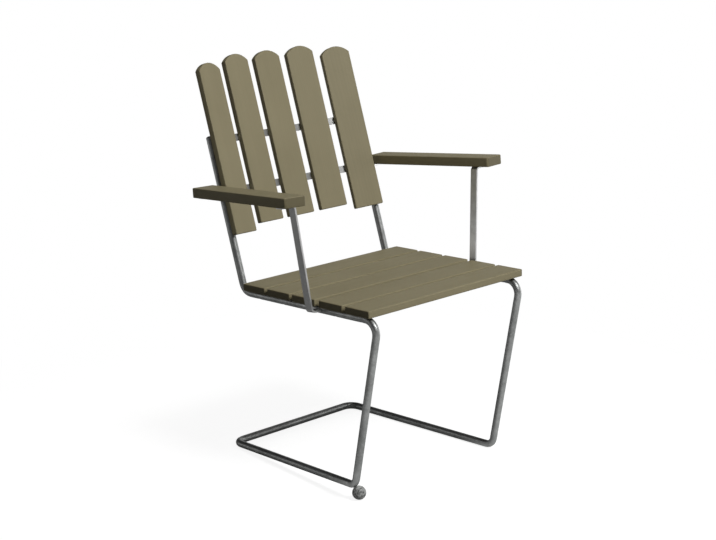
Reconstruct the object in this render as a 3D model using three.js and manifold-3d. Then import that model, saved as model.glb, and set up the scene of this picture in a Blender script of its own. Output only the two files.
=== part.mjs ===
// Slatted cantilever garden armchair: one bent steel rod carries a seat of five slats, a back of
// five round-topped slats on two curved flat bars, and two plank armrests. Millimetres, +Z up,
// the sitter faces -Y and the sitter's left is +X.
import * as THREE from 'three';
import { RoundedBoxGeometry } from 'three/addons/geometries/RoundedBoxGeometry.js';
import { mergeVertices } from 'three/addons/utils/BufferGeometryUtils.js';
import Module from 'manifold-3d';

const wasm = await Module();
wasm.setup();

// Frame rod, all places measured to its axis
const rodDiameter = 16;
const railHalfSpacing = 217.8;
const footTuck = 2.3;
const runnerTuck = 32.8;
const railFrontReach = 67.8;
const railFrontHeight = 401.1;
const railRearSetback = 337.6;
const railRearHeight = 383.4;
const uprightLength = 341;
const uprightLean = THREE.MathUtils.degToRad(18.5);
const rearBarSetback = 421.3;
const uprightBendRadius = 27;
const seatFrontBendRadius = 28;
const footBendRadius = 20;
const rearCornerRadius = 26;
const rodEndRounding = 3;

// Seat slats, lying across the rails
const seatSlatCount = 5;
const seatSlatOverhang = 17.8;
const seatSlatWidth = 69.2;
const seatSlatThickness = 16;
const seatSlatGap = 8;
const seatSupportGap = 12;
const slatsBeforeSupport = 2;
const seatFrontInset = 8.5;
const seatEdgeRadius = 2.6;

// Back slats, standing on an arc
const backSlatCount = 5;
const backSlatWidth = 73;
const backSlatLength = 360;
const backSlatThickness = 13;
const backSlatGap = 21.6;
const backArchRise = 16;
const backCornerRadius = 3;
const backEdgeRadius = 1.8;
const backCurveRadius = 800;
const backUprightClearance = 1.2;
const backSlatFoot = 138.1;
const outerSlatDrop = 14.3;

// Back rails, flat bar on edge, curved like the back
const backRailHeight = 16;
const backRailThickness = 3;
const upperRailLevel = uprightLength - backRailHeight / 2;
const lowerRailLevel = 219.5;

// Armrests, measured from where the upright's axis passes their underside
const armLevelOnUpright = 217.5;
const armSideGap = 12.5;
const armRearOverhang = 4;
const armLength = 337.5;
const armWidth = 53;
const armThickness = 21.2;
const armRise = THREE.MathUtils.degToRad(6);
const armToeOut = THREE.MathUtils.degToRad(6.2);
const armFrontCornerRadius = 5;
const armRearCornerRadius = 3;
const armEdgeRadius = 1.8;

// Arm supports and rear brackets, flat bar
const flatBarWidth = 18;
const flatBarThickness = 4;
const supportSetback = 5;
const supportFootReach = 24.2;
const supportFootBendRadius = 9;
const supportTopBendRadius = 8;
const supportFlangeLength = 35.4;
const supportTipInset = 12;
const bracketWidth = 14;
const bracketTipInset = 18;

// Screws
const screwShankRadius = 2.1;
const screwHeadRadius = 4.2;
const screwHeadRim = 0.4;
const seatScrewGrip = 10;
const backScrewGrip = 8;
const armScrewGrip = 12;
const armScrewEndDistance = 7;
const armScrewSpacing = 17;

// Ball foot under the lifted bend at the sitter's right front
const ballFootRadius = 15;
const ballSocketDepth = 5;
const ballFootInset = 9;
const ballFootReach = 2;

// Fit and fineness
const gap = 0.3;
const mergeTolerance = 1e-4;
const rodSides = 16;
const hollowSides = 32;
const screwSides = 12;
const ballSides = 20;
const roundingSteps = 2;
const archSteps = 6;
const cornerSteps = 4;
const railArcSteps = 12;
const bendStep = THREE.MathUtils.degToRad(13);

// Profile of the rod's end: [share of the radius, share of the height]
const rodEndShares = [[0.94, 0], [0.8, 0.55], [0.45, 0.9]];

// Colours read from the photograph
const paintedWood = { color: 0x827a62, roughness: 0.62, metalness: 0.0 };
const galvanisedSteel = { color: 0x9a9e9c, roughness: 0.42, metalness: 0.85 };
const zincScrew = { color: 0x8c908f, roughness: 0.4, metalness: 0.8 };
const greyPlastic = { color: 0x7d817c, roughness: 0.6, metalness: 0.0 };

// Derived sizes
const rodRadius = rodDiameter / 2;
const footHalfSpacing = railHalfSpacing - footTuck;
const rearBarHalfSpacing = footHalfSpacing - runnerTuck;
const rightFootLift = 2 * ballFootRadius - ballSocketDepth;
const seatSlatLength = 2 * (railHalfSpacing + seatSlatOverhang);
const seatSlope = Math.atan2(railFrontHeight - railRearHeight, railRearSetback + railFrontReach);
const screwConeEnd = screwHeadRim + screwHeadRadius - screwShankRadius;
const seatScrewLevel = -Math.sqrt(rodRadius ** 2 - (screwHeadRadius + gap) ** 2);

const chair = new THREE.Group();

// Names and mounts one piece
function addPiece(parent, name, geometry, finish) {
  const mesh = new THREE.Mesh(geometry, new THREE.MeshStandardMaterial(finish));
  mesh.name = name;
  parent.add(mesh);
  return mesh;
}

// Solid from a closed geometry, and back
function toSolid(geometry) {
  const bare = geometry.clone();
  bare.deleteAttribute('normal');
  bare.deleteAttribute('uv');
  const merged = mergeVertices(bare, mergeTolerance);
  const vertProperties = new Float32Array(merged.attributes.position.array);
  const triVerts = new Uint32Array(merged.index.array);
  return new wasm.Manifold(new wasm.Mesh({ numProp: 3, vertProperties, triVerts }));
}

function toGeometry(solid) {
  const mesh = solid.getMesh();
  const geometry = new THREE.BufferGeometry();
  geometry.setAttribute('position', new THREE.BufferAttribute(new Float32Array(mesh.vertProperties), 3));
  geometry.setIndex(new THREE.BufferAttribute(new Uint32Array(mesh.triVerts), 1));
  geometry.computeVertexNormals();
  return geometry;
}

function cut(geometry, tools) {
  let solid = toSolid(geometry);
  for (const tool of tools) solid = solid.subtract(toSolid(tool));
  return toGeometry(solid);
}

// Cylinder with its axis along +Z, from height low to height high
function drill(radius, low, high, sides) {
  const geometry = new THREE.CylinderGeometry(radius, radius, high - low, sides);
  geometry.rotateX(Math.PI / 2);
  geometry.translate(0, 0, (low + high) / 2);
  return geometry;
}

// Stations along a line of straights joined by round bends: points and directions
function bentLine(corners, radii) {
  const points = [corners[0].clone()];
  const directions = [corners[1].clone().sub(corners[0]).normalize()];
  for (let i = 1; i < corners.length - 1; i += 1) {
    const into = corners[i].clone().sub(corners[i - 1]).normalize();
    const out = corners[i + 1].clone().sub(corners[i]).normalize();
    const turn = into.angleTo(out);
    const radius = radii[i - 1];
    const inward = out.clone().addScaledVector(into, -Math.cos(turn)).normalize();
    const start = corners[i].clone().addScaledVector(into, -radius * Math.tan(turn / 2));
    const centre = start.clone().addScaledVector(inward, radius);
    const steps = Math.max(2, Math.ceil(turn / bendStep));
    for (let j = 0; j <= steps; j += 1) {
      const angle = (turn * j) / steps;
      const point = centre.clone().addScaledVector(inward, -radius * Math.cos(angle));
      points.push(point.addScaledVector(into, radius * Math.sin(angle)));
      const direction = into.clone().multiplyScalar(Math.cos(angle));
      directions.push(direction.addScaledVector(inward, Math.sin(angle)));
    }
  }
  const last = corners.length - 1;
  points.push(corners[last].clone());
  directions.push(corners[last].clone().sub(corners[last - 1]).normalize());
  return { points, directions };
}

// Curve that passes through the stations only, so straights stay one step long
class StationCurve extends THREE.Curve {
  constructor(line) {
    super();
    this.line = line;
  }

  station(t) {
    return Math.round(t * (this.line.points.length - 1));
  }

  getPoint(t) {
    return this.line.points[this.station(t)].clone();
  }

  getPointAt(t) {
    return this.getPoint(t);
  }

  getTangentAt(t) {
    return this.line.directions[this.station(t)].clone();
  }
}

function rodAlong(line, radius) {
  const section = new THREE.Shape();
  section.absarc(0, 0, radius, 0, Math.PI * 2, false);
  return new THREE.ExtrudeGeometry(section, {
    steps: line.points.length - 1,
    curveSegments: rodSides / 2,
    extrudePath: new StationCurve(line),
  });
}

// Flat strip bent in its own plane: outline at half a thickness on each side of its middle line
function stripShape(line, thickness) {
  const left = [];
  const right = [];
  line.points.forEach((point, i) => {
    const side = new THREE.Vector2(-line.directions[i].y, line.directions[i].x);
    left.push(new THREE.Vector2(point.x, point.y).addScaledVector(side, thickness / 2));
    right.push(new THREE.Vector2(point.x, point.y).addScaledVector(side, -thickness / 2));
  });
  return new THREE.Shape(left.concat(right.reverse()));
}

// Outline of a board from corner (x0, y0) to (x1, y1) with a radius at each end's two corners
function boardShape(x0, y0, x1, y1, lowRadius, highRadius) {
  const shape = new THREE.Shape();
  shape.moveTo(x0 + lowRadius, y0);
  shape.lineTo(x1 - lowRadius, y0);
  shape.absarc(x1 - lowRadius, y0 + lowRadius, lowRadius, -Math.PI / 2, 0, false);
  shape.lineTo(x1, y1 - highRadius);
  shape.absarc(x1 - highRadius, y1 - highRadius, highRadius, 0, Math.PI / 2, false);
  shape.lineTo(x0 + highRadius, y1);
  shape.absarc(x0 + highRadius, y1 - highRadius, highRadius, Math.PI / 2, Math.PI, false);
  shape.lineTo(x0, y0 + lowRadius);
  shape.absarc(x0 + lowRadius, y0 + lowRadius, lowRadius, Math.PI, Math.PI * 1.5, false);
  return shape;
}

// Board of a given thickness with rounded edges, its faces at z = 0 and z = thickness
function boardFrom(shape, thickness, edgeRadius, curveSegments) {
  const geometry = new THREE.ExtrudeGeometry(shape, {
    depth: thickness - 2 * edgeRadius,
    bevelEnabled: true,
    bevelThickness: edgeRadius,
    bevelSize: edgeRadius,
    bevelOffset: -edgeRadius,
    bevelSegments: roundingSteps,
    curveSegments,
  });
  geometry.translate(0, 0, edgeRadius);
  return geometry;
}

// Turned solid about +Z from [radius, height] pairs that start and end on the axis
function turned(pairs) {
  const profile = pairs.map(([radius, height]) => new THREE.Vector2(radius, height));
  return new THREE.LatheGeometry(profile, screwSides).rotateX(Math.PI / 2);
}

// Countersunk screw along +Z: the head's face at z = 0, then its cone, shank and point
function screwGeometry(length) {
  return turned([
    [0, 0],
    [screwHeadRadius, 0],
    [screwHeadRadius, screwHeadRim],
    [screwShankRadius, screwConeEnd],
    [screwShankRadius, length - screwShankRadius],
    [0, length],
  ]);
}

// Hole for such a screw, a gap wider and deeper, and open for a relief in front of the head
function screwHole(length, relief) {
  const widening = 1 / Math.cos(Math.PI / screwSides);
  const headRadius = (screwHeadRadius + gap) * widening;
  const shankRadius = (screwShankRadius + gap) * widening;
  return turned([
    [0, -relief],
    [headRadius, -relief],
    [headRadius, screwHeadRim + gap],
    [shankRadius, screwConeEnd + gap],
    [shankRadius, length + gap],
    [0, length + gap],
  ]);
}

// Corners of one side of the rod's axis: upright, rail, leg, runner, rear bar
function rodHalf(side, footLift) {
  return [
    [railHalfSpacing, railRearSetback + uprightLength * Math.sin(uprightLean),
      railRearHeight + uprightLength * Math.cos(uprightLean)],
    [railHalfSpacing, railRearSetback, railRearHeight],
    [railHalfSpacing, -railFrontReach, railFrontHeight],
    [footHalfSpacing, 0, rodRadius + footLift],
    [rearBarHalfSpacing, rearBarSetback, rodRadius],
  ].map(([x, y, z]) => new THREE.Vector3(side * x, y, z));
}

const bendRadii = [uprightBendRadius, seatFrontBendRadius, footBendRadius, rearCornerRadius];
const rodCorners = rodHalf(1, 0).concat(rodHalf(-1, rightFootLift).reverse());
const rodLine = bentLine(rodCorners, bendRadii.concat([...bendRadii].reverse()));

// Rounded end of the rod, to be joined to an upright's top
function rodEnd(side) {
  const profile = [
    new THREE.Vector2(0, -rodEndRounding),
    new THREE.Vector2(rodRadius * rodEndShares[0][0], -rodEndRounding),
    ...rodEndShares.map(([out, up]) => new THREE.Vector2(rodRadius * out, rodEndRounding * up)),
    new THREE.Vector2(0, rodEndRounding),
  ];
  const geometry = new THREE.LatheGeometry(profile, rodSides);
  geometry.rotateX(Math.PI / 2 - uprightLean);
  const top = rodLine.points[0];
  geometry.translate(side * top.x, top.y, top.z);
  return geometry;
}

// Seat frame: origin at the rail's front corner, Y back along the rail, Z square to it
const seat = new THREE.Group();
seat.position.set(0, -railFrontReach, railFrontHeight);
seat.rotation.x = -seatSlope;
seat.updateMatrix();
chair.add(seat);

function seatSlatCentre(index) {
  const supportExtra = index >= slatsBeforeSupport ? seatSupportGap - seatSlatGap : 0;
  return seatFrontInset + seatSlatWidth / 2 + index * (seatSlatWidth + seatSlatGap) + supportExtra;
}

const slatUnderside = rodRadius + gap;
const seatScrewLength = slatUnderside - seatScrewLevel + seatScrewGrip;
const seatHoles = [];
for (let i = 0; i < seatSlatCount; i += 1) {
  for (const side of [1, -1]) {
    const hole = screwHole(seatScrewLength, rodRadius);
    hole.translate(side * railHalfSpacing, seatSlatCentre(i), seatScrewLevel);
    hole.applyMatrix4(seat.matrix);
    seatHoles.push(hole);
  }
}

let rodSolid = toSolid(rodAlong(rodLine, rodRadius));
for (const side of [1, -1]) rodSolid = rodSolid.add(toSolid(rodEnd(side)));
for (const hole of seatHoles) rodSolid = rodSolid.subtract(toSolid(hole));
addPiece(chair, 'frame_rod', toGeometry(rodSolid), galvanisedSteel);

for (let i = 0; i < seatSlatCount; i += 1) {
  const middle = slatUnderside + seatSlatThickness / 2;
  const size = [seatSlatLength, seatSlatWidth, seatSlatThickness];
  const board = new RoundedBoxGeometry(...size, roundingSteps, seatEdgeRadius);
  const holes = [];
  for (const [side, word] of [[1, 'left'], [-1, 'right']]) {
    const hole = screwHole(seatScrewLength, rodRadius);
    holes.push(hole.translate(side * railHalfSpacing, 0, seatScrewLevel - middle));
    const screw = addPiece(seat, `seat_screw_${word}_${i + 1}`, screwGeometry(seatScrewLength), zincScrew);
    screw.position.set(side * railHalfSpacing, seatSlatCentre(i), seatScrewLevel);
  }
  const slat = addPiece(seat, `seat_slat_${i + 1}`, cut(board, holes), paintedWood);
  slat.position.set(0, seatSlatCentre(i), middle);
}

// Back frame: origin at the rail's rear corner, Z up along the upright, the sitter on the -Y side
const back = new THREE.Group();
back.position.set(0, railRearSetback, railRearHeight);
back.rotation.x = -uprightLean;
back.updateMatrix();
chair.add(back);

// The outer slats' backs just clear the uprights, which sets how far back the arc lies
const backSlatAngle = (backSlatWidth + backSlatGap) / backCurveRadius;
const outerSlatAngle = (backSlatAngle * (backSlatCount - 1)) / 2;
const outerSlatBack = backCurveRadius + backSlatThickness;
const uprightAcross = railHalfSpacing * Math.sin(outerSlatAngle);
const slatToUpright = outerSlatBack + backUprightClearance + rodRadius;
const backCurveCentre = (uprightAcross - slatToUpright) / Math.cos(outerSlatAngle);
const backRailInner = Math.hypot(backCurveRadius + backSlatThickness, backSlatWidth / 2) + gap;
const backRailOuter = backRailInner + backRailThickness;
const backScrewSeat = backRailOuter - backCurveRadius;
const backScrewLength = backScrewSeat - backSlatThickness + backScrewGrip;

function backSlatShape() {
  const half = backSlatWidth / 2;
  const archRadius = (half * half + backArchRise * backArchRise) / (2 * backArchRise);
  const archCentre = backSlatLength + backArchRise - archRadius;
  const archStart = Math.atan2(backSlatLength - archCentre, half);
  const shape = new THREE.Shape();
  shape.moveTo(-half + backCornerRadius, 0);
  shape.lineTo(half - backCornerRadius, 0);
  shape.absarc(half - backCornerRadius, backCornerRadius, backCornerRadius, -Math.PI / 2, 0, false);
  shape.lineTo(half, backSlatLength);
  shape.absarc(0, archCentre, archRadius, archStart, Math.PI - archStart, false);
  shape.lineTo(-half, backCornerRadius);
  shape.absarc(-half + backCornerRadius, backCornerRadius, backCornerRadius, Math.PI, Math.PI * 1.5, false);
  return shape;
}

// Group standing at slat i on the arc, its Y axis pointing from the slat's face to its back
function backStation(i) {
  const angle = i * backSlatAngle - outerSlatAngle;
  const station = new THREE.Group();
  station.position.set(Math.sin(angle), Math.cos(angle), 0).multiplyScalar(backCurveRadius);
  station.position.y += backCurveCentre;
  station.rotation.z = -angle;
  station.updateMatrix();
  return station;
}

const railLevels = [['lower', lowerRailLevel], ['upper', upperRailLevel]];
const railHoles = { lower: [], upper: [] };
for (let i = 0; i < backSlatCount; i += 1) {
  const isOuter = i === 0 || i === backSlatCount - 1;
  const foot = backSlatFoot - (isOuter ? outerSlatDrop : 0);
  const station = backStation(i);
  back.add(station);
  const board = boardFrom(backSlatShape(), backSlatThickness, backEdgeRadius, archSteps);
  board.rotateX(Math.PI / 2);
  board.translate(0, backSlatThickness, foot);
  const holes = [];
  for (const [word, level] of railLevels) {
    const hole = screwHole(backScrewLength, gap);
    hole.rotateX(Math.PI / 2);
    hole.translate(0, backScrewSeat, level);
    holes.push(hole);
    railHoles[word].push(hole.clone().applyMatrix4(station.matrix));
    const backScrew = screwGeometry(backScrewLength).rotateX(Math.PI / 2);
    const screw = addPiece(station, `back_screw_${word}_${i + 1}`, backScrew, zincScrew);
    screw.position.set(0, backScrewSeat, level);
  }
  addPiece(station, `back_slat_${i + 1}`, cut(board, holes), paintedWood);
}

// The two curved bars behind the slats, their ends hollowed to sit on the uprights
for (const [word, level] of railLevels) {
  const sweep = Math.asin((railHalfSpacing - rodRadius / 2) / backRailInner);
  const shape = new THREE.Shape();
  shape.absarc(0, backCurveCentre, backRailOuter, Math.PI / 2 - sweep, Math.PI / 2 + sweep, false);
  shape.absarc(0, backCurveCentre, backRailInner, Math.PI / 2 + sweep, Math.PI / 2 - sweep, true);
  const options = { depth: backRailHeight, bevelEnabled: false, curveSegments: railArcSteps };
  const bar = new THREE.ExtrudeGeometry(shape, options);
  bar.translate(0, 0, level - backRailHeight / 2);
  const hollows = [1, -1].map((side) => {
    const hollow = drill(rodRadius + gap, level - backRailHeight, level + backRailHeight, hollowSides);
    return hollow.translate(side * railHalfSpacing, 0, 0);
  });
  addPiece(back, `back_rail_${word}`, cut(bar, hollows.concat(railHoles[word])), galvanisedSteel);
}

// Two screws up through a flat bar into the arm, counted in from the bar's tip; returns their holes
const armScrewLength = flatBarThickness + gap + armScrewGrip;

function armScrewPair(parent, name, side, tip, armUnderside) {
  const faceLevel = armUnderside - gap - flatBarThickness;
  const holes = [];
  for (let i = 0; i < 2; i += 1) {
    const across = side * (tip - armScrewEndDistance - i * armScrewSpacing);
    const screw = addPiece(parent, `${name}_${i + 1}`, screwGeometry(armScrewLength), zincScrew);
    screw.position.set(across, 0, faceLevel);
    holes.push(screwHole(armScrewLength, gap).translate(across, 0, faceLevel));
  }
  return holes;
}

// Armrests with their supports and brackets, one side at a time
for (const [side, word] of [[1, 'left'], [-1, 'right']]) {
  // Arm: origin on the upright's axis at the arm's underside, Y to the rear along the arm
  const arm = new THREE.Group();
  arm.position.set(side * railHalfSpacing, 0, armLevelOnUpright).applyMatrix4(back.matrix);
  arm.rotation.set(-armRise, 0, side * armToeOut, 'ZXY');
  arm.updateMatrix();
  chair.add(arm);
  const armInner = rodRadius + armSideGap;
  const armOuter = armInner + armWidth;

  // Support: origin on the rail's axis just behind the seat's wide gap, Z square to the arm
  const wideGapMiddle = seatSlatCentre(slatsBeforeSupport - 1) + (seatSlatWidth + seatSupportGap) / 2;
  const supportAlong = wideGapMiddle + supportSetback;
  const support = new THREE.Group();
  support.position.set(side * railHalfSpacing, supportAlong, 0).applyMatrix4(seat.matrix);
  const armUp = new THREE.Vector3(0, 0, 1).transformDirection(arm.matrix);
  support.quaternion.setFromUnitVectors(new THREE.Vector3(0, 0, 1), armUp);
  support.updateMatrix();
  chair.add(support);

  // Where the arm's outer lower edge passes over the support
  const armToSupport = support.matrix.clone().invert().multiply(arm.matrix);
  const edge = new THREE.Vector3(side * armOuter, 0, 0).applyMatrix4(armToSupport);
  const alongArm = new THREE.Vector3(0, 1, 0).transformDirection(armToSupport);
  edge.addScaledVector(alongArm, -edge.y / alongArm.y);

  // Support's bar: foot on the rail's outer side, up past the slat ends, out under the arm
  const footEnd = rodRadius + supportFootReach;
  const flangeTip = side * edge.x - supportTipInset;
  const flangeLevel = edge.z - gap - flatBarThickness / 2;
  const line = bentLine([
    new THREE.Vector3(side * (rodRadius + gap), 0, 0),
    new THREE.Vector3(side * footEnd, 0, 0),
    new THREE.Vector3(side * (flangeTip - supportFlangeLength), flangeLevel, 0),
    new THREE.Vector3(side * flangeTip, flangeLevel, 0),
  ], [supportFootBendRadius, supportTopBendRadius]);
  const strip = stripShape(line, flatBarThickness);
  const bar = new THREE.ExtrudeGeometry(strip, { depth: flatBarWidth, bevelEnabled: false });
  bar.rotateX(Math.PI / 2);
  bar.translate(0, flatBarWidth / 2, 0);
  const supportHoles = armScrewPair(support, `arm_screw_support_${word}`, side, flangeTip, edge.z);
  addPiece(support, `arm_support_${word}`, cut(bar, supportHoles), galvanisedSteel);

  // Bracket: flat tab from the upright's outer side, under the arm's rear end
  const bracketTip = armOuter - bracketTipInset;
  const tab = new THREE.BoxGeometry(bracketTip, bracketWidth, flatBarThickness);
  tab.translate((side * bracketTip) / 2, 0, -gap - flatBarThickness / 2);
  const hollow = drill(rodRadius + gap, 0, uprightLength, hollowSides);
  hollow.translate(side * railHalfSpacing, 0, 0);
  hollow.applyMatrix4(back.matrix).applyMatrix4(arm.matrix.clone().invert());
  const bracketHoles = armScrewPair(arm, `arm_screw_bracket_${word}`, side, bracketTip, 0);
  addPiece(arm, `arm_bracket_${word}`, cut(tab, [hollow, ...bracketHoles]), galvanisedSteel);

  // Plank, its outline mirrored for the other side
  const rear = armRearOverhang;
  const corners = [armInner, rear - armLength, armOuter, rear];
  const outline = boardShape(...corners, armFrontCornerRadius, armRearCornerRadius);
  const points = outline.getPoints(cornerSteps).map((point) => new THREE.Vector2(side * point.x, point.y));
  const plank = boardFrom(new THREE.Shape(points), armThickness, armEdgeRadius, cornerSteps);
  const supportToArm = armToSupport.clone().invert();
  const armHoles = bracketHoles.concat(supportHoles.map((hole) => hole.clone().applyMatrix4(supportToArm)));
  addPiece(arm, `armrest_${word}`, cut(plank, armHoles), paintedWood);
}

// Ball foot that the sitter's right front bend sits down into
const ball = new THREE.SphereGeometry(ballFootRadius, ballSides, ballSides / 2);
ball.rotateX(Math.PI / 2);
ball.translate(ballFootInset - footHalfSpacing, -ballFootReach, ballFootRadius);
addPiece(chair, 'ball_foot_right', cut(ball, [rodAlong(rodLine, rodRadius + gap)]), greyPlastic);

// Stand the chair on the floor with its origin under the middle of its outline
chair.updateMatrixWorld(true);
const bounds = new THREE.Box3().setFromObject(chair, true);
chair.position.set(0, -(bounds.min.y + bounds.max.y) / 2, -bounds.min.z);

const root = new THREE.Group();
root.add(chair);

export default root;
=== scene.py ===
# Dresses the slatted cantilever garden armchair: stained boards, galvanised steel and its welds,
# cross-recessed screws, the studio and the camera. Metres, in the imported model's frame: +Z up,
# the sitter faces -Y and the sitter's left is +X.
import math
import random

import bmesh
import bpy
import numpy as np
from mathutils import Matrix, Vector


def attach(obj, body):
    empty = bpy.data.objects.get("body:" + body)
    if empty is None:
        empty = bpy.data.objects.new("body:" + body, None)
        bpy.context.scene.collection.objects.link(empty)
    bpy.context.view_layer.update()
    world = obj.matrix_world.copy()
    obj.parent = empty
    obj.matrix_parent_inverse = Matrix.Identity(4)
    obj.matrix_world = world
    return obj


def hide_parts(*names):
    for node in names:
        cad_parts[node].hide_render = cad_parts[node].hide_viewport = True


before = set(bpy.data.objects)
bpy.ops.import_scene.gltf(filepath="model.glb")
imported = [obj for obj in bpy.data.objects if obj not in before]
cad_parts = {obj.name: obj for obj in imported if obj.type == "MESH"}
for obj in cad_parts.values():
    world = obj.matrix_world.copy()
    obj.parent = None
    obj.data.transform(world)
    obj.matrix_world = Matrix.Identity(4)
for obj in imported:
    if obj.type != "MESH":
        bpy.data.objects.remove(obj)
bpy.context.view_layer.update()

# Camera, fitted to the photograph
CAMERA_AZIMUTH = math.radians(-44.51)
CAMERA_ELEVATION = math.radians(14.91)
CAMERA_DISTANCE = 3.7715
CAMERA_TARGET = Vector((0.0008, -0.0120, 0.4152))
FOCAL_PIXELS = 1722.75
IMAGE_WIDTH_PIXELS = 716
SENSOR_MM = 36

# Slopes: the seat falls to the rear, the back leans back, and the arms rise and toe out
SEAT_FALL = math.radians(2.5)
BACK_LEAN = math.radians(18.5)
ARM_RISE = math.radians(6.0)
ARM_TOE_OUT = math.radians(6.2)

# The rod where the welds sit: a seat rail on each side, from its front corner to its rear one,
# and an upright on the rear corner. Levels are lengths along the upright
ROD_RADIUS = 0.008
RAIL_HALF_SPACING = 0.2178
RAIL_RUN = 0.4054
RAIL_FRONT = Vector((0, -0.292116, 0.4011))
RAIL_REAR = RAIL_FRONT + RAIL_RUN * Vector((0, 1, -math.tan(SEAT_FALL)))
SUPPORT_ALONG_RAIL = 0.1659
ARM_LEVEL = 0.2175
BACK_RAIL_LEVELS = {"lower": 0.2195, "upper": 0.333}


# Nodes that the materials and the studio share


def node_setup(name):
    """A new material with its node tree cleared, and its shader linked to the output."""
    material = bpy.data.materials.new(name)
    material.use_nodes = True
    tree = material.node_tree
    tree.nodes.clear()
    output = tree.nodes.new("ShaderNodeOutputMaterial")
    shader = tree.nodes.new("ShaderNodeBsdfPrincipled")
    tree.links.new(shader.outputs["BSDF"], output.inputs["Surface"])
    return material, tree, shader


def noise(tree, vector, scale=1.0, detail=3.0, roughness=0.5, distortion=0.0):
    """Noise from 0 to 1; the scale counts its cells in one unit of the vector."""
    texture = tree.nodes.new("ShaderNodeTexNoise")
    texture.inputs["Scale"].default_value = scale
    texture.inputs["Detail"].default_value = detail
    texture.inputs["Roughness"].default_value = roughness
    texture.inputs["Distortion"].default_value = distortion
    tree.links.new(vector, texture.inputs["Vector"])
    return texture.outputs["Fac"]


def remap(tree, value, low, high, to_low, to_high):
    """Carries a value from one range to another, and holds it at that range's ends."""
    node = tree.nodes.new("ShaderNodeMapRange")
    node.inputs["From Min"].default_value = low
    node.inputs["From Max"].default_value = high
    node.inputs["To Min"].default_value = to_low
    node.inputs["To Max"].default_value = to_high
    tree.links.new(value, node.inputs["Value"])
    return node.outputs["Result"]


def maths(tree, operation, first, second=0.0):
    """One operation on two values, or on the first alone; each is a number or a socket."""
    node = tree.nodes.new("ShaderNodeMath")
    node.operation = operation
    for socket, value in zip(node.inputs, (first, second)):
        if isinstance(value, float):
            socket.default_value = value
        else:
            tree.links.new(value, socket)
    return node.outputs["Value"]


def dot(tree, vector, other):
    """Dot product of a socket with a fixed vector or with another socket."""
    node = tree.nodes.new("ShaderNodeVectorMath")
    node.operation = "DOT_PRODUCT"
    tree.links.new(vector, node.inputs[0])
    if isinstance(other, Vector):
        node.inputs[1].default_value = other
    else:
        tree.links.new(other, node.inputs[1])
    return node.outputs["Value"]


def mix(tree, factor, first, second):
    """Mixes two colours; each is a colour tuple or a socket."""
    node = tree.nodes.new("ShaderNodeMix")
    node.data_type = "RGBA"
    sockets = [socket for socket in node.inputs if socket.type == "RGBA"]
    for socket, value in zip(sockets, (first, second)):
        if isinstance(value, tuple):
            socket.default_value = (*value, 1.0)
        else:
            tree.links.new(value, socket)
    tree.links.new(factor, node.inputs["Factor"])
    return next(socket for socket in node.outputs if socket.type == "RGBA")


def choose(tree, factor, first, second):
    """Goes from the first value to the second as the factor goes from 0 to 1."""
    node = tree.nodes.new("ShaderNodeMix")
    for socket, value in zip(("Factor", "A", "B"), (factor, first, second)):
        tree.links.new(value, node.inputs[socket])
    return node.outputs["Result"]


def tone(tree, *parts):
    """Sums patterns about a middle of one half; each part is (pattern from 0 to 1, its weight)."""
    total = 0.5
    for pattern, weight in parts:
        from_middle = maths(tree, "SUBTRACT", pattern, 0.5)
        total = maths(tree, "ADD", maths(tree, "MULTIPLY", from_middle, weight), total)
    return total


def object_vector(tree, rotation=(0, 0, 0), offset=(0, 0, 0), scale=(1, 1, 1), vector=None):
    """Object coordinates, or another vector, stretched, turned and then shifted."""
    if vector is None:
        vector = tree.nodes.new("ShaderNodeTexCoord").outputs["Object"]
    mapping = tree.nodes.new("ShaderNodeMapping")
    mapping.inputs["Location"].default_value = offset
    mapping.inputs["Rotation"].default_value = rotation
    mapping.inputs["Scale"].default_value = scale
    tree.links.new(vector, mapping.inputs["Vector"])
    return mapping.outputs["Vector"]


def bump(tree, shader, height, strength, distance, chained=None):
    """Bump on the shader's normal, on top of the chained normal where there is one."""
    node = tree.nodes.new("ShaderNodeBump")
    node.inputs["Strength"].default_value = strength
    node.inputs["Distance"].default_value = distance
    tree.links.new(height, node.inputs["Height"])
    if chained is not None:
        tree.links.new(chained, node.inputs["Normal"])
    tree.links.new(node.outputs["Normal"], shader.inputs["Normal"])
    return node.outputs["Normal"]


# Materials. Noise seldom leaves its middle reach
NOISE_REACH = (0.3, 0.7)

# Olive-beige stain on planed softwood, worn pale along the edges and darker on the end grain.
# Growth rings, fibres and bands run along the grain, and clouds lie in the stain. A pair such as
# WORN_CLOUDS or END_FACING is where an effect starts and where it is full
WOOD_LIGHT = (0.306, 0.268, 0.163)
WOOD_DARK = (0.193, 0.167, 0.094)
WOOD_WORN = (0.336, 0.300, 0.202)
WOOD_END = (0.105, 0.090, 0.048)
WOOD_ROUGHNESS = (0.5, 0.66)
WOOD_SPECULAR = 0.3
RINGS_WEIGHT = 0.10
FIBRES_WEIGHT = 0.34
BANDS_WEIGHT = 0.22
CLOUDS_WEIGHT = 0.45
FIBRES_PER_METRE = (1100, 1100, 16)
BANDS_PER_METRE = (60, 60, 1.6)
CLOUDS_PER_METRE = 7.0
GRAIN_DEPTH = 0.0004
RINGS_BUMP = 0.10
FIBRES_BUMP = 0.16
WORN_RADIUS = 0.0015
WORN_CLOUDS = (0.4, 0.65)
WORN_MOST = 0.55
EDGE_SAMPLES = 4
EDGE_FACING = (0.99, 0.8)
END_FACING = (0.75, 0.95)
END_MOST = 0.9
END_RING_GAIN = 1.35

# Where a board was cut: two shifts across the log and one along it, and how far it leans in it
LOG_SHIFTS = ((0.05, 0.08), (0.02, 0.05), (0, 9))
LOG_LEAN = 0.03

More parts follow.
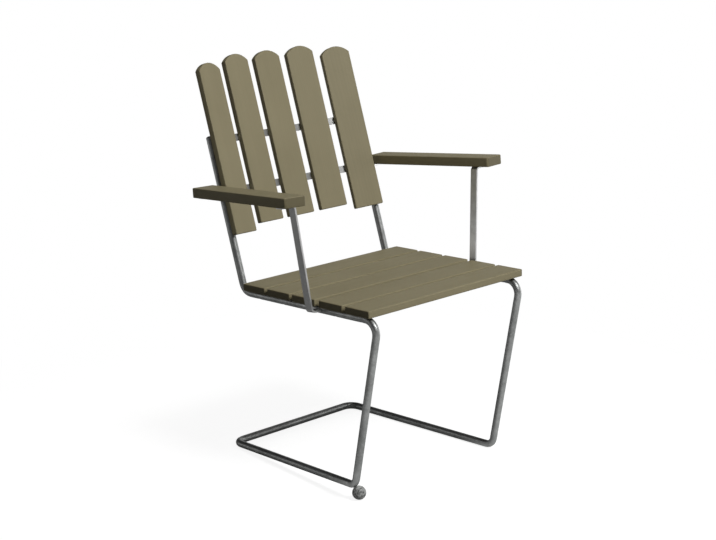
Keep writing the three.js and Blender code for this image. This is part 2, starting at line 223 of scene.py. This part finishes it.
# Growth rings. At a scale of one, Blender's wave repeats every pi / 10 metres
RING_SPACING = 0.0034
WAVE_LENGTH_AT_UNIT_SCALE = math.pi / 10
RING_DISTORTION = 1.6
RING_DETAIL = 2.0
RING_DETAIL_SCALE = 0.08


def growth_rings(tree, vector):
    """Rings round the vector's Z axis, from 0 to 1 across each year's growth."""
    texture = tree.nodes.new("ShaderNodeTexWave")
    texture.wave_type = "RINGS"
    texture.rings_direction = "Z"
    texture.wave_profile = "SAW"
    texture.inputs["Scale"].default_value = WAVE_LENGTH_AT_UNIT_SCALE / RING_SPACING
    texture.inputs["Distortion"].default_value = RING_DISTORTION
    texture.inputs["Detail"].default_value = RING_DETAIL
    texture.inputs["Detail Scale"].default_value = RING_DETAIL_SCALE
    tree.links.new(vector, texture.inputs["Vector"])
    return texture.outputs["Fac"]


def edge_amount(tree, radius):
    """How far a rounded normal turns away from the surface's own: high along the edges."""
    rounded = tree.nodes.new("ShaderNodeBevel")
    rounded.samples = EDGE_SAMPLES
    rounded.inputs["Radius"].default_value = radius
    geometry = tree.nodes.new("ShaderNodeNewGeometry")
    facing = dot(tree, rounded.outputs["Normal"], geometry.outputs["Normal"])
    return remap(tree, facing, *EDGE_FACING, 0.0, 1.0)


def wood_material(name, rotation, grain, draws):
    """Stained board whose grain runs along a direction; draws place it in its own log."""
    material, tree, shader = node_setup(name)
    log_place = [draws.uniform(*reach) for reach in LOG_SHIFTS]
    log_lean = (draws.uniform(-LOG_LEAN, LOG_LEAN), draws.uniform(-LOG_LEAN, LOG_LEAN), 0)
    along = object_vector(tree, rotation, log_place)
    rings = growth_rings(tree, object_vector(tree, log_lean, vector=along))
    fibre_vector = object_vector(tree, scale=FIBRES_PER_METRE, vector=along)
    band_vector = object_vector(tree, scale=BANDS_PER_METRE, vector=along)
    fibres = noise(tree, fibre_vector, detail=4.0, roughness=0.6)
    bands = noise(tree, band_vector, distortion=0.6)
    clouds = noise(tree, along, CLOUDS_PER_METRE, detail=4.0, roughness=0.55)
    shade = tone(
        tree,
        (rings, RINGS_WEIGHT),
        (fibres, FIBRES_WEIGHT),
        (bands, BANDS_WEIGHT),
        (clouds, CLOUDS_WEIGHT),
    )
    colour = mix(tree, shade, WOOD_DARK, WOOD_LIGHT)
    worn_patches = remap(tree, clouds, *WORN_CLOUDS, 0.0, WORN_MOST)
    worn = maths(tree, "MULTIPLY", edge_amount(tree, WORN_RADIUS), worn_patches)
    colour = mix(tree, worn, colour, WOOD_WORN)
    normal = tree.nodes.new("ShaderNodeTexCoord").outputs["Normal"]
    end = maths(tree, "ABSOLUTE", dot(tree, normal, grain))
    end_late = tuple(channel * END_RING_GAIN for channel in WOOD_END)
    end_colour = mix(tree, rings, WOOD_END, end_late)
    colour = mix(tree, remap(tree, end, *END_FACING, 0.0, END_MOST), colour, end_colour)
    tree.links.new(colour, shader.inputs["Base Color"])
    tree.links.new(remap(tree, fibres, *NOISE_REACH, *WOOD_ROUGHNESS), shader.inputs["Roughness"])
    shader.inputs["Specular IOR Level"].default_value = WOOD_SPECULAR
    ring_relief = bump(tree, shader, rings, RINGS_BUMP, GRAIN_DEPTH)
    bump(tree, shader, fibres, FIBRES_BUMP, GRAIN_DEPTH, ring_relief)
    return material


# Hot-dip galvanised steel: zinc crystals, dull patches and fine specks
CRYSTALS_WEIGHT = 0.35
PATCHES_WEIGHT = 1.5
SPECKS_WEIGHT = 0.6
PATCHES_PER_METRE = 26.0
SPECKS_PER_METRE = 520.0
ZINC_DEPTH = 0.0003
CRYSTALS_BUMP = 0.06
SPECKS_BUMP = 0.10
MEAN_OF_RED_AND_GREEN = Vector((0.5, 0.5, 0))


def steel_material(name, bright, dull, crystal_size, roughness, metallic=1.0):
    """Zinc-coated steel, smoother where it is bright; roughness is (where bright, where dull)."""
    material, tree, shader = node_setup(name)
    smoothest, roughest = roughness
    vector = object_vector(tree)
    crystals = tree.nodes.new("ShaderNodeTexVoronoi")
    crystals.inputs["Scale"].default_value = 1 / crystal_size
    tree.links.new(vector, crystals.inputs["Vector"])
    crystal_tone = dot(tree, crystals.outputs["Color"], MEAN_OF_RED_AND_GREEN)
    patches = noise(tree, vector, PATCHES_PER_METRE, detail=5.0, roughness=0.6)
    specks = noise(tree, vector, SPECKS_PER_METRE, roughness=0.6)
    shade = tone(
        tree,
        (crystal_tone, CRYSTALS_WEIGHT),
        (patches, PATCHES_WEIGHT),
        (specks, SPECKS_WEIGHT),
    )
    tree.links.new(mix(tree, shade, dull, bright), shader.inputs["Base Color"])
    shader.inputs["Metallic"].default_value = metallic
    tree.links.new(remap(tree, shade, 0.0, 1.0, roughest, smoothest), shader.inputs["Roughness"])
    crystal_relief = bump(tree, shader, crystals.outputs["Distance"], CRYSTALS_BUMP, ZINC_DEPTH)
    bump(tree, shader, specks, SPECKS_BUMP, ZINC_DEPTH, crystal_relief)
    return material


# Moulded grey plastic, mottled and scuffed
PLASTIC_DARK = (0.085, 0.088, 0.085)
PLASTIC_LIGHT = (0.560, 0.572, 0.556)
PLASTIC_SCUFFED = (0.66, 0.665, 0.65)
PLASTIC_ROUGHNESS = (0.3, 0.6)
MOTTLE_PER_METRE = 150.0
MOTTLE_EDGE = (0.42, 0.60)
MOTTLE_DEPTH = 0.0012
MOTTLE_BUMP = 0.5
SCUFFS_PER_METRE = 620.0
SCUFFS_EDGE = (0.55, 0.75)
SCUFFS_MOST = 0.6


def plastic_material(name):
    material, tree, shader = node_setup(name)
    vector = object_vector(tree)
    mottle = noise(tree, vector, MOTTLE_PER_METRE, detail=5.0, roughness=0.65, distortion=0.4)
    scuffs = noise(tree, vector, SCUFFS_PER_METRE, detail=4.0, roughness=0.6)
    colour = mix(tree, remap(tree, mottle, *MOTTLE_EDGE, 0.0, 1.0), PLASTIC_DARK, PLASTIC_LIGHT)
    scuffed = remap(tree, scuffs, *SCUFFS_EDGE, 0.0, SCUFFS_MOST)
    tree.links.new(mix(tree, scuffed, colour, PLASTIC_SCUFFED), shader.inputs["Base Color"])
    roughness = remap(tree, mottle, *NOISE_REACH, *PLASTIC_ROUGHNESS)
    tree.links.new(roughness, shader.inputs["Roughness"])
    bump(tree, shader, mottle, MOTTLE_BUMP, MOTTLE_DEPTH)
    return material


steel = steel_material(
    "galvanised_steel",
    bright=(0.40, 0.408, 0.403),
    dull=(0.19, 0.196, 0.192),
    crystal_size=0.006,
    roughness=(0.40, 0.55),
)
# Paler than the rod: partly a lighter zinc, partly painted light for the bars' bright reflections
bar_steel = steel_material(
    "galvanised_bar",
    bright=(0.64, 0.645, 0.64),
    dull=(0.44, 0.445, 0.44),
    crystal_size=0.005,
    roughness=(0.30, 0.44),
    metallic=0.75,
)
weld_steel = steel_material(
    "weld",
    bright=(0.34, 0.34, 0.33),
    dull=(0.12, 0.12, 0.115),
    crystal_size=0.002,
    roughness=(0.38, 0.6),
)
screw_steel = steel_material(
    "zinc_screw",
    bright=(0.62, 0.62, 0.60),
    dull=(0.36, 0.36, 0.35),
    crystal_size=0.004,
    roughness=(0.24, 0.36),
)
plastic = plastic_material("grey_plastic")


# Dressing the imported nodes. The flat bars' edges are broken here. The boards' edges are rounded
# in the CAD
MERGE_DISTANCE = 0.00001
BAR_EDGE = 0.0004
BAR_EDGE_SEGMENTS = 2
BAR_EDGE_ANGLE = math.radians(50)
QUARTER_TURN = math.radians(90)
SEED = 7


def smooth(piece):
    """Smooth shading across faces that meet, so vertices in one place are merged."""
    for polygon in piece.data.polygons:
        polygon.use_smooth = True
    weld = piece.modifiers.new("Weld", "WELD")
    weld.merge_threshold = MERGE_DISTANCE


def dress(node_name, material, bevel=0.0):
    """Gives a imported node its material, smooth shading, and rounded edges where it asks for them."""
    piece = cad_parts[node_name]
    piece.data.materials.clear()
    piece.data.materials.append(material)
    smooth(piece)
    if bevel:
        edges = piece.modifiers.new("Broken edges", "BEVEL")
        edges.width = bevel
        edges.segments = BAR_EDGE_SEGMENTS
        edges.limit_method = "ANGLE"
        edges.angle_limit = BAR_EDGE_ANGLE
    normals = piece.modifiers.new("Weighted normals", "WEIGHTED_NORMAL")
    normals.keep_sharp = False


def grain_of(node_name):
    """Rotation that turns the grain onto Z, and the grain's direction."""
    if node_name.startswith("seat"):
        return (0, QUARTER_TURN, 0), Vector((1, 0, 0))
    if node_name.startswith("back"):
        return (BACK_LEAN, 0, 0), Vector((0, math.sin(BACK_LEAN), math.cos(BACK_LEAN)))
    toe_out = ARM_TOE_OUT if node_name.endswith("left") else -ARM_TOE_OUT
    grain = Matrix.Rotation(toe_out, 3, "Z") @ Vector((0, math.cos(ARM_RISE), -math.sin(ARM_RISE)))
    return (QUARTER_TURN + ARM_RISE, 0, 0), grain


def dress_nodes(draws):
    for node_name in sorted(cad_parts):
        if node_name.startswith(("seat_slat", "back_slat", "armrest")):
            rotation, grain = grain_of(node_name)
            dress(node_name, wood_material(f"wood_{node_name}", rotation, grain, draws))
        elif node_name.startswith("ball"):
            dress(node_name, plastic)
        elif node_name == "frame_rod":
            dress(node_name, steel)
        elif "screw" not in node_name:
            dress(node_name, bar_steel, BAR_EDGE)


# New pieces


def add_piece(name, mesh_builder, matrix, material):
    """Turns a bmesh into a piece of the chair, set in place by a matrix."""
    bmesh.ops.recalc_face_normals(mesh_builder, faces=mesh_builder.faces)
    mesh_builder.transform(matrix)
    mesh = bpy.data.meshes.new(name)
    mesh_builder.to_mesh(mesh)
    mesh_builder.free()
    mesh.materials.append(material)
    piece = bpy.data.objects.new(name, mesh)
    bpy.context.scene.collection.objects.link(piece)
    smooth(piece)
    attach(piece, "root")
    return piece


def ring(builder, centre, radius, sides, first=Vector((1, 0, 0)), second=Vector((0, 1, 0))):
    """A ring of vertices round a centre, in the plane of two directions."""
    vertices = []
    for i in range(sides):
        angle = 2 * math.pi * i / sides
        spoke = math.cos(angle) * first + math.sin(angle) * second
        vertices.append(builder.verts.new(centre + radius * spoke))
    return vertices


def skin(builder, lower, upper):
    """Faces between two rings of as many vertices."""
    count = len(lower)
    for i in range(count):
        j = (i + 1) % count
        builder.faces.new((lower[i], lower[j], upper[j], upper[i]))


# Countersunk screws with a cross recess, one for each packed screw
SCREW_SIDES = 24
SCREW_HEAD_RADIUS = 0.0042
SCREW_SHANK_RADIUS = 0.0021
SCREW_HEAD_RIM = 0.0004
SCREW_TIP_RADIUS = 0.0004
RECESS_REACH = 0.0024
RECESS_HALF_WIDTH = 0.00055
RECESS_DEPTH = 0.0016
RECESS_FLOOR_SHARE = 0.55
MICRON_DECIMALS = 6


def recess_outline(builder, share, depth):
    """Twelve corners of a cross, in order round the screw's axis."""
    reach = RECESS_REACH * share
    half = RECESS_HALF_WIDTH * share
    corners = []
    for quarter in range(4):
        turn = Matrix.Rotation(quarter * QUARTER_TURN, 3, "Z")
        for x, y in ((reach, -half), (reach, half), (half, half)):
            corners.append(builder.verts.new(turn @ Vector((x, y, depth))))
    return corners


def loop_edges(builder, corners):
    """The edges of a closed loop, made where they are missing."""
    edges = []
    for first, second in zip(corners, corners[1:] + corners[:1]):
        edges.append(builder.edges.get((first, second)) or builder.edges.new((first, second)))
    return edges


def screw_mesh(length):
    """Screw along +Z with its head's face at the origin."""
    builder = bmesh.new()
    profile = (
        (SCREW_HEAD_RADIUS, 0),
        (SCREW_HEAD_RADIUS, SCREW_HEAD_RIM),
        (SCREW_SHANK_RADIUS, SCREW_HEAD_RIM + SCREW_HEAD_RADIUS - SCREW_SHANK_RADIUS),
        (SCREW_SHANK_RADIUS, length - SCREW_SHANK_RADIUS),
        (SCREW_TIP_RADIUS, length),
    )
    rings = [ring(builder, Vector((0, 0, height)), radius, SCREW_SIDES) for radius, height in profile]
    for lower, upper in zip(rings, rings[1:]):
        skin(builder, lower, upper)
    builder.faces.new(rings[-1])
    mouth = recess_outline(builder, 1, 0)
    floor = recess_outline(builder, RECESS_FLOOR_SHARE, RECESS_DEPTH)
    skin(builder, mouth, floor)
    builder.faces.new(floor)
    face_edges = loop_edges(builder, rings[0]) + loop_edges(builder, mouth)
    bmesh.ops.triangle_fill(builder, edges=face_edges, use_beauty=True)
    return builder


def screw_axis(node_name):
    """Head centre, direction towards the tip, and length of a packed screw, from its vertices.

    The axis is the direction in which they spread most, and the head is at the thicker end.
    """
    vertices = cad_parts[node_name].data.vertices
    places = np.array([vertex.co for vertex in vertices]).round(MICRON_DECIMALS)
    points = np.unique(places, axis=0)
    middle = points.mean(axis=0)
    direction = np.linalg.eigh(np.cov((points - middle).T))[1][:, -1]
    along = (points - middle) @ direction
    radius = np.linalg.norm(points - middle - np.outer(along, direction), axis=1)
    if (along * radius).sum() > 0:
        direction, along = -direction, -along
    return Vector(middle + direction * along.min()), Vector(direction), float(np.ptp(along))


def make_screws(draws):
    """Stands a detailed screw in for each packed one, its cross turned at random."""
    for node_name in sorted(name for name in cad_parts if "screw" in name):
        head, direction, length = screw_axis(node_name)
        spin = Matrix.Rotation(draws.uniform(0, math.pi), 4, "Z")
        turn = direction.to_track_quat("Z", "Y").to_matrix().to_4x4()
        place = Matrix.Translation(head) @ turn @ spin
        screw = add_piece(f"cross_{node_name}", screw_mesh(length), place, screw_steel)
        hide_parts(node_name)


# Weld beads where the flat bars meet the rod: rippled, and tapered bluntly to their ends
BEAD_RADIUS = 0.0014
BEAD_SIDES = 10
BEAD_STEPS = 40
BEAD_TAPER_POWER = 0.35
RIPPLE_LENGTH = 0.0022
RIPPLE_SHARE = 0.16


def bead_mesh(path, length):
    """A bead along a path, which gives the point and the heading at a share of the way."""
    builder = bmesh.new()
    rings = []
    for step in range(1, BEAD_STEPS):
        share = step / BEAD_STEPS
        centre, heading = path(share)
        swell = math.sin(math.pi * share) ** BEAD_TAPER_POWER
        ripple = 1 - RIPPLE_SHARE * abs(math.sin(math.pi * share * length / RIPPLE_LENGTH))
        side = heading.orthogonal().normalized()
        radius = BEAD_RADIUS * swell * ripple
        rings.append(ring(builder, centre, radius, BEAD_SIDES, side, heading.cross(side)))
    for lower, upper in zip(rings, rings[1:]):
        skin(builder, lower, upper)
    builder.faces.new(rings[0])
    builder.faces.new(rings[-1])
    return builder


def straight_path(start, end):
    heading = (end - start).normalized()
    return lambda share: (start.lerp(end, share), heading)


def arc_path(centre, radius, half_angle, side):
    """An arc about Z that bulges towards one side."""
    def at(share):
        angle = half_angle * (2 * share - 1)
        out = Vector((side * math.cos(angle), math.sin(angle), 0))
        return centre + radius * out, Vector((-side * math.sin(angle), math.cos(angle), 0))
    return at


def frame_at(corner, turn, offset):
    """Matrix of a point reached by an offset in axes turned about X at one of the rod's corners."""
    return Matrix.Translation(corner) @ Matrix.Rotation(-turn, 4, "X") @ Matrix.Translation(offset)


def add_weld(name, path, length, place):
    add_piece(f"weld_{name}", bead_mesh(path, length), place, weld_steel)


# Places of the welds. An inset lies towards the chair's middle, and a standoff is from the rod's
# surface. The rest is from the rod's axis
BACK_WELD_INSET = 0.0082
BACK_WELD_FORWARD = 0.0026
BACK_WELD_LENGTH = 0.015
WELD_STANDOFF = 0.0007
SUPPORT_WELD_RISES = {"upper": 0.0029, "lower": -0.0029}
SUPPORT_WELD_LENGTH = 0.017
BRACKET_WELD_DROP = 0.0051
BRACKET_WELD_FORWARD = 0.0023
BRACKET_WELD_HALF_ANGLE = math.radians(48)
SIDES = {"left": 1, "right": -1}


def weld_back_rails(word, side):
    """A short upright bead where each back rail meets the upright."""
    half = Vector((0, 0, BACK_WELD_LENGTH / 2))
    for level_word, level in BACK_RAIL_LEVELS.items():
        spot = Vector((side * (RAIL_HALF_SPACING - BACK_WELD_INSET), -BACK_WELD_FORWARD, level))
        place = frame_at(RAIL_REAR, BACK_LEAN, spot)
        path = straight_path(-half, half)
        add_weld(f"back_rail_{level_word}_{word}", path, BACK_WELD_LENGTH, place)


def weld_support(word, side):
    """Two beads along the seat rail, above and below the arm support's foot."""
    foot = frame_at(RAIL_FRONT, SEAT_FALL, Vector((side * RAIL_HALF_SPACING, SUPPORT_ALONG_RAIL, 0)))
    place = foot @ Matrix.Rotation(SEAT_FALL - ARM_RISE, 4, "X")
    for rise_word, rise in SUPPORT_WELD_RISES.items():
        start = Vector((side * (ROD_RADIUS + WELD_STANDOFF), -SUPPORT_WELD_LENGTH / 2, rise))
        end = start + Vector((0, SUPPORT_WELD_LENGTH, 0))
        add_weld(f"support_{rise_word}_{word}", straight_path(start, end), SUPPORT_WELD_LENGTH, place)


def weld_bracket(word, side):
    """A bead round the upright's outer side, under the armrest's tab."""
    spot = Vector((side * RAIL_HALF_SPACING, 0, ARM_LEVEL))
    place = frame_at(RAIL_REAR, BACK_LEAN, spot) @ Matrix.Rotation(BACK_LEAN - ARM_RISE, 4, "X")
    centre = Vector((0, -BRACKET_WELD_FORWARD, -BRACKET_WELD_DROP))
    radius = ROD_RADIUS + WELD_STANDOFF
    path = arc_path(centre, radius, BRACKET_WELD_HALF_ANGLE, side)
    add_weld(f"bracket_{word}", path, 2 * radius * BRACKET_WELD_HALF_ANGLE, place)


# Studio

# Room, white to the camera. In gloss it has a white backdrop on the sitter's left, dimmer towards
# the ceiling, and a paler corner behind the sitter's right. The rest of the room is dim. An edge
# is a pair of cosines of the angle from its direction, between which the light changes
BACKDROP_AZIMUTH = math.radians(92)
BACKDROP_EDGE = (0.45, 0.85)
CEILING_EDGE = (0.15, 0.60)
CEILING_SHARE = 0.25
CORNER_AZIMUTH = math.radians(-133)
CORNER_EDGE = (0.86, 0.97)
CORNER_LEVEL = 1.0
ROOM_DIM = 0.08
AMBIENT = 0.09

# Floor, white to the camera, with the chair's shadow faintly on it. A share of it is a white
# surface that the lamps light, to FLOOR_LIGHT_LEVEL in the open, and a glow makes it up to white
FLOOR_SIZE = 14
FLOOR_DROP = 0.0005
FLOOR_GREY = 0.12
FLOOR_ROUGHNESS = 0.9
FLOOR_LIGHT_LEVEL = 0.42
SEEN_SHADOW_SHARE = 0.32
SEEN_SHADOW_REACH = (0.40, 1.10)

# In gloss the floor is white in front on the sitter's left, and dim on the other side. Between
# the runners its glow gives way to dim grey: painted shade for the chair's shade. Far out it
# turns pale again
GLOSS_FLOOR_GREY = 0.24
GLOSS_SHADOW_SHARE = 0.95
GLOSS_WHITE_AZIMUTH = math.radians(40)
GLOSS_SHADOW_REACH = (-0.65, 0.35)
GLOSS_PAINTED_SHADE_MIDDLE = Vector((0, 0.12, 0))
GLOSS_PAINTED_SHADE_REACH = (0.32, 0.46)
GLOSS_FAR_REACH = (2.1, 3.6)
GLOSS_FAR_SHARE = 0.3


def direction_at(azimuth, elevation):
    """Unit vector away from the chair. Azimuth 0 is in front, and grows to the sitter's left."""
    return Vector((
        math.sin(azimuth) * math.cos(elevation),
        -math.cos(azimuth) * math.cos(elevation),
        math.sin(elevation),
    ))


def seen_rays(tree):
    """Whether a ray comes from the camera, and whether the background shows by it at all.

    It shows to the camera, in gloss and through glass. Both are sockets of 0 or 1.
    """
    path = tree.nodes.new("ShaderNodeLightPath")
    is_camera = path.outputs["Is Camera Ray"]
    total = maths(tree, "ADD", is_camera, path.outputs["Is Glossy Ray"])
    total = maths(tree, "ADD", total, path.outputs["Is Transmission Ray"])
    return is_camera, maths(tree, "MINIMUM", total, 1.0)


def switch_shader(tree, is_seen, unseen, seen, output):
    """Shows one shader to the rays by which the background shows, and another to the rest."""
    switch = tree.nodes.new("ShaderNodeMixShader")
    for socket, source in zip(switch.inputs, (is_seen, unseen, seen)):
        tree.links.new(source, socket)
    tree.links.new(switch.outputs["Shader"], output.inputs["Surface"])


def distance_from(tree, place):
    """Distance on the floor from a place, in the floor's own coordinates."""
    length = tree.nodes.new("ShaderNodeVectorMath")
    length.operation = "LENGTH"
    tree.links.new(object_vector(tree, offset=tuple(-place)), length.inputs[0])
    return length.outputs["Value"]


def shadow_share(tree, is_camera):
    """Share of the floor that takes shadow, as the camera sees it and as gloss does."""
    from_middle = distance_from(tree, Vector((0, 0, 0)))
    from_shade_middle = distance_from(tree, GLOSS_PAINTED_SHADE_MIDDLE)
    aside = dot(tree, object_vector(tree), direction_at(GLOSS_WHITE_AZIMUTH, 0))
    seen_share = remap(tree, from_middle, *SEEN_SHADOW_REACH, SEEN_SHADOW_SHARE, 0.0)
    gloss_aside = remap(tree, aside, *GLOSS_SHADOW_REACH, GLOSS_SHADOW_SHARE, 0.0)
    gloss_far = remap(tree, from_middle, *GLOSS_FAR_REACH, 1.0, GLOSS_FAR_SHARE)
    # Painted shade: between the runners gloss sees dim grey floor in place of the white glow
    gloss_painted_shade = remap(tree, from_shade_middle, *GLOSS_PAINTED_SHADE_REACH, GLOSS_SHADOW_SHARE, 0.0)
    gloss_outside = maths(tree, "MULTIPLY", gloss_aside, gloss_far)
    gloss_share = maths(tree, "MAXIMUM", gloss_outside, gloss_painted_shade)
    return choose(tree, is_camera, gloss_share, seen_share)


def make_floor():
    bpy.ops.mesh.primitive_plane_add(size=FLOOR_SIZE, location=(0, 0, -FLOOR_DROP))
    floor = bpy.context.object
    floor.name = "floor"
    material, tree, unseen = node_setup("floor_white")
    unseen.inputs["Base Color"].default_value = (FLOOR_GREY, FLOOR_GREY, FLOOR_GREY, 1)
    unseen.inputs["Roughness"].default_value = FLOOR_ROUGHNESS
    unseen.inputs["Specular IOR Level"].default_value = 0.0
    is_camera, is_seen = seen_rays(tree)
    share = shadow_share(tree, is_camera)
    lamplight = remap(tree, is_camera, 0.0, 1.0, 1.0, FLOOR_LIGHT_LEVEL)
    white = tree.nodes.new("ShaderNodeEmission")
    strength = maths(tree, "SUBTRACT", 1.0, maths(tree, "MULTIPLY", share, lamplight))
    tree.links.new(strength, white.inputs["Strength"])
    shadowed = tree.nodes.new("ShaderNodeBsdfDiffuse")
    grey = remap(tree, is_camera, 0.0, 1.0, GLOSS_FLOOR_GREY, 1.0)
    tree.links.new(maths(tree, "MULTIPLY", share, grey), shadowed.inputs["Color"])
    seen = tree.nodes.new("ShaderNodeAddShader")
    tree.links.new(white.outputs["Emission"], seen.inputs[0])
    tree.links.new(shadowed.outputs["BSDF"], seen.inputs[1])
    output = next(node for node in tree.nodes if node.type == "OUTPUT_MATERIAL")
    switch_shader(tree, is_seen, unseen.outputs["BSDF"], seen.outputs["Shader"], output)
    floor.data.materials.append(material)


def white_background(tree):
    background = tree.nodes.new("ShaderNodeBackground")
    background.inputs["Color"].default_value = (1, 1, 1, 1)
    return background


def make_world():
    world = bpy.data.worlds.new("studio")
    bpy.context.scene.world = world
    world.use_nodes = True
    tree = world.node_tree
    tree.nodes.clear()
    output = tree.nodes.new("ShaderNodeOutputWorld")
    direction = tree.nodes.new("ShaderNodeTexCoord").outputs["Generated"]
    towards_backdrop = dot(tree, direction, direction_at(BACKDROP_AZIMUTH, 0))
    towards_ceiling = dot(tree, direction, Vector((0, 0, 1)))
    towards_corner = dot(tree, direction, direction_at(CORNER_AZIMUTH, 0))
    backdrop = remap(tree, towards_backdrop, *BACKDROP_EDGE, ROOM_DIM, 1.0)
    ceiling = remap(tree, towards_ceiling, *CEILING_EDGE, 1.0, CEILING_SHARE)
    corner = remap(tree, towards_corner, *CORNER_EDGE, 0.0, CORNER_LEVEL)
    room = maths(tree, "MAXIMUM", maths(tree, "MULTIPLY", backdrop, ceiling), corner)
    is_camera, is_seen = seen_rays(tree)
    seen = white_background(tree)
    tree.links.new(maths(tree, "MAXIMUM", is_camera, room), seen.inputs["Strength"])
    ambient = white_background(tree)
    ambient.inputs["Strength"].default_value = AMBIENT
    switch_shader(tree, is_seen, ambient.outputs["Background"], seen.outputs["Background"], output)


LIGHT_CENTRE = Vector((0, 0, 0.45))


def soft_box(name, azimuth, elevation, distance, size, power):
    """A square area light that looks at the chair's middle; its angles are in degrees."""
    light = bpy.data.lights.new(name, "AREA")
    light.shape = "SQUARE"
    light.size = size
    light.energy = power
    lamp = bpy.data.objects.new(name, light)
    bpy.context.scene.collection.objects.link(lamp)
    away = direction_at(math.radians(azimuth), math.radians(elevation))
    lamp.location = LIGHT_CENTRE + away * distance
    lamp.rotation_euler = away.to_track_quat("Z", "Y").to_euler()
    return lamp


def make_lamps():
    """Soft light from in front, the sitter's left, behind and above.

    The steel doesn't mirror the rear one.
    """
    soft_box("key", azimuth=4, elevation=42, distance=3.0, size=1.0, power=66)
    soft_box("side", azimuth=62, elevation=5, distance=3.0, size=1.0, power=10)
    rear = soft_box("rear", azimuth=178, elevation=18, distance=3.2, size=1.4, power=25)
    rear.visible_glossy = False
    soft_box("top", azimuth=0, elevation=85, distance=2.6, size=1.4, power=6)


def make_camera():
    data = bpy.data.cameras.new("camera")
    data.sensor_width = SENSOR_MM
    data.lens = FOCAL_PIXELS / IMAGE_WIDTH_PIXELS * SENSOR_MM
    camera = bpy.data.objects.new("camera", data)
    bpy.context.scene.collection.objects.link(camera)
    away = direction_at(CAMERA_AZIMUTH, CAMERA_ELEVATION)
    camera.location = CAMERA_TARGET + away * CAMERA_DISTANCE
    camera.rotation_euler = away.to_track_quat("Z", "Y").to_euler()
    bpy.context.scene.camera = camera


draws = random.Random(SEED)
dress_nodes(draws)
make_screws(draws)
for word, side in SIDES.items():
    weld_back_rails(word, side)
    weld_support(word, side)
    weld_bracket(word, side)
make_floor()
make_world()
make_lamps()
make_camera()

bpy.context.scene.view_settings.view_transform = "Standard"
